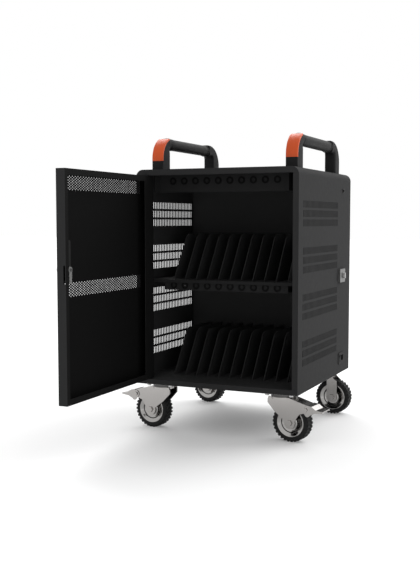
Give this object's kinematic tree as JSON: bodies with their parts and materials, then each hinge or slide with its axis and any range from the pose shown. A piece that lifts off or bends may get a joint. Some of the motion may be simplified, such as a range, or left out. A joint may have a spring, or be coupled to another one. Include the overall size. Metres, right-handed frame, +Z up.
{
  "type": "laptop charging cart",
  "caption": "steel laptop charging cart on swivel castors, with slotted bays behind a hinged front door, a rear power bay and two push handles",
  "frame": {"origin": "on the floor under the middle of the bounding box", "axes": "X across the front to the right as seen from the front, Y from the front to the rear, Z up"},
  "size_m": [0.7325, 1.094, 0.98],
  "materials": {
    "charcoal_paint": "satin powder coat",
    "interior_paint": "satin powder coat",
    "grommet_rubber": "matt",
    "strip_plastic": "fine grain",
    "outlet_plastic": "fine grain",
    "inlet_plastic": "satin",
    "contact_brass": "bright",
    "rocker_plastic": "gloss",
    "button_plastic": "gloss",
    "bush_plastic": "satin",
    "zinc_steel": "zinc plated",
    "lock_metal": "satin chrome",
    "elbow_plastic": "fine grain",
    "grip_plastic": "fine grain",
    "accent_plastic": "satin gloss",
    "castor_metal": "bright plated",
    "rim_metal": "turned",
    "tyre_rubber": "matt"
  },
  "bodies": {
    "cabinet": {"top_cover": "charcoal_paint", "left_side_panel": "charcoal_paint", "right_side_panel": "charcoal_paint", "base": "charcoal_paint", "front_frame": "charcoal_paint", "rear_frame": "charcoal_paint", "partition_panel": "interior_paint", "middle_shelf": "interior_paint", "top_cable_bar": "interior_paint", "shelf_cable_bar": "interior_paint", "top_grommets": "grommet_rubber", "shelf_grommets": "grommet_rubber", "upper_dividers": "interior_paint", "lower_dividers": "interior_paint", "power_strips": "strip_plastic", "outlets": "outlet_plastic", "inlet_housing": "inlet_plastic", "inlet_pins": "contact_brass", "button_ring_bezel": "zinc_steel", "side_lock_block": "lock_metal", "rear_hinge_pins": "zinc_steel", "front_hinge_pins": "zinc_steel", "left_handle_elbows": "elbow_plastic", "right_handle_elbows": "elbow_plastic", "left_grip": "grip_plastic", "right_grip": "grip_plastic", "left_accent": "accent_plastic", "right_accent": "accent_plastic", "handle_screws": "zinc_steel", "castor_plates": "castor_metal", "castor_bolts": "zinc_steel"},
    "front_door": {"door_panel": "charcoal_paint", "door_inner_frame": "charcoal_paint", "hinge_bushes": "bush_plastic", "lock_plate": "zinc_steel", "lock_body": "zinc_steel"},
    "front_lock": {"lock_lever": "lock_metal", "latch_cam": "lock_metal"},
    "key_plug": {"key_plug": "lock_metal"},
    "rear_door": {"rear_door": "charcoal_paint", "rear_keeper": "zinc_steel"},
    "side_lock": {"side_lock_knob": "lock_metal", "side_lock_hook": "lock_metal"},
    "rocker": {"rocker_switch": "rocker_plastic"},
    "button": {"power_button": "button_plastic"},
    "castor_front_left": {"fork_front_left": "castor_metal"},
    "wheel_front_left": {"rim_front_left": "rim_metal", "tyre_front_left": "tyre_rubber"},
    "castor_front_right": {"fork_front_right": "castor_metal"},
    "wheel_front_right": {"rim_front_right": "rim_metal", "tyre_front_right": "tyre_rubber"},
    "castor_rear_left": {"fork_rear_left": "castor_metal"},
    "wheel_rear_left": {"rim_rear_left": "rim_metal", "tyre_rear_left": "tyre_rubber"},
    "castor_rear_right": {"fork_rear_right": "castor_metal"},
    "wheel_rear_right": {"rim_rear_right": "rim_metal", "tyre_rear_right": "tyre_rubber"},
    "pedal_left": {"pedal_left": "castor_metal"},
    "pedal_right": {"pedal_right": "castor_metal"}
  },
  "joints": [
    {"name": "front_door_hinge", "type": "hinge", "parent": "cabinet", "child": "front_door", "pos_m": [-0.2515, -0.034, 0.5105], "axis": [0, 0, 1], "range_deg": [-20, 90]},
    {"name": "front_lock_turn", "type": "hinge", "parent": "front_door", "child": "front_lock", "pos_m": [-0.2625, -0.5165, 0.561], "axis": [-1, 0, 0], "range_deg": [0, 90]},
    {"name": "key_turn", "type": "hinge", "parent": "front_lock", "child": "key_plug", "pos_m": [-0.27, -0.5165, 0.561], "axis": [-1, 0, 0], "range_deg": [0, 90]},
    {"name": "rear_door_hinge", "type": "hinge", "parent": "cabinet", "child": "rear_door", "pos_m": [-0.2515, 0.536, 0.5105], "axis": [0, 0, 1], "range_deg": [0, 110]},
    {"name": "side_lock_turn", "type": "hinge", "parent": "cabinet", "child": "side_lock", "pos_m": [0.2825, 0.435, 0.506], "axis": [1, 0, 0], "range_deg": [-80, 0]},
    {"name": "rocker_tilt", "type": "hinge", "parent": "cabinet", "child": "rocker", "pos_m": [0.2795, 0.422, 0.209], "axis": [0, 1, 0], "range_deg": [-14, 0]},
    {"name": "button_press", "type": "slide", "parent": "cabinet", "child": "button", "axis": [-1, 0, 0], "range_m": [0, 0.002], "stiffness_N_per_m": 300},
    {"name": "swivel_front_left", "type": "hinge", "parent": "cabinet", "child": "castor_front_left", "pos_m": [-0.212, 0.013, 0.14], "axis": [0, 0, 1], "continuous": true},
    {"name": "roll_front_left", "type": "hinge", "parent": "castor_front_left", "child": "wheel_front_left", "pos_m": [-0.24982, 0.01664, 0.0625], "axis": [-0.0958, -0.9954, 0], "continuous": true},
    {"name": "swivel_front_right", "type": "hinge", "parent": "cabinet", "child": "castor_front_right", "pos_m": [0.212, 0.013, 0.14], "axis": [0, 0, 1], "continuous": true},
    {"name": "roll_front_right", "type": "hinge", "parent": "castor_front_right", "child": "wheel_front_right", "pos_m": [0.24972, 0.00837, 0.0625], "axis": [0.1219, 0.9925, 0], "continuous": true},
    {"name": "swivel_rear_left", "type": "hinge", "parent": "cabinet", "child": "castor_rear_left", "pos_m": [-0.212, 0.473, 0.14], "axis": [0, 0, 1], "continuous": true},
    {"name": "roll_rear_left", "type": "hinge", "parent": "castor_rear_left", "child": "wheel_rear_left", "pos_m": [-0.24942, 0.4796, 0.0625], "axis": [-0.1736, -0.9848, 0], "continuous": true},
    {"name": "swivel_rear_right", "type": "hinge", "parent": "cabinet", "child": "castor_rear_right", "pos_m": [0.212, 0.473, 0.14], "axis": [0, 0, 1], "continuous": true},
    {"name": "roll_rear_right", "type": "hinge", "parent": "castor_rear_right", "child": "wheel_rear_right", "pos_m": [0.24996, 0.47134, 0.0625], "axis": [0.0436, 0.999, 0], "continuous": true},
    {"name": "pedal_left_tilt", "type": "hinge", "parent": "castor_front_left", "child": "pedal_left", "pos_m": [-0.30656, 0.0221, 0.111], "axis": [-0.0958, -0.9954, 0], "range_deg": [0, 12]},
    {"name": "pedal_right_tilt", "type": "hinge", "parent": "castor_front_right", "child": "pedal_right", "pos_m": [0.30629, 0.00142, 0.111], "axis": [0.1219, 0.9925, 0], "range_deg": [0, 12]}
  ]
}
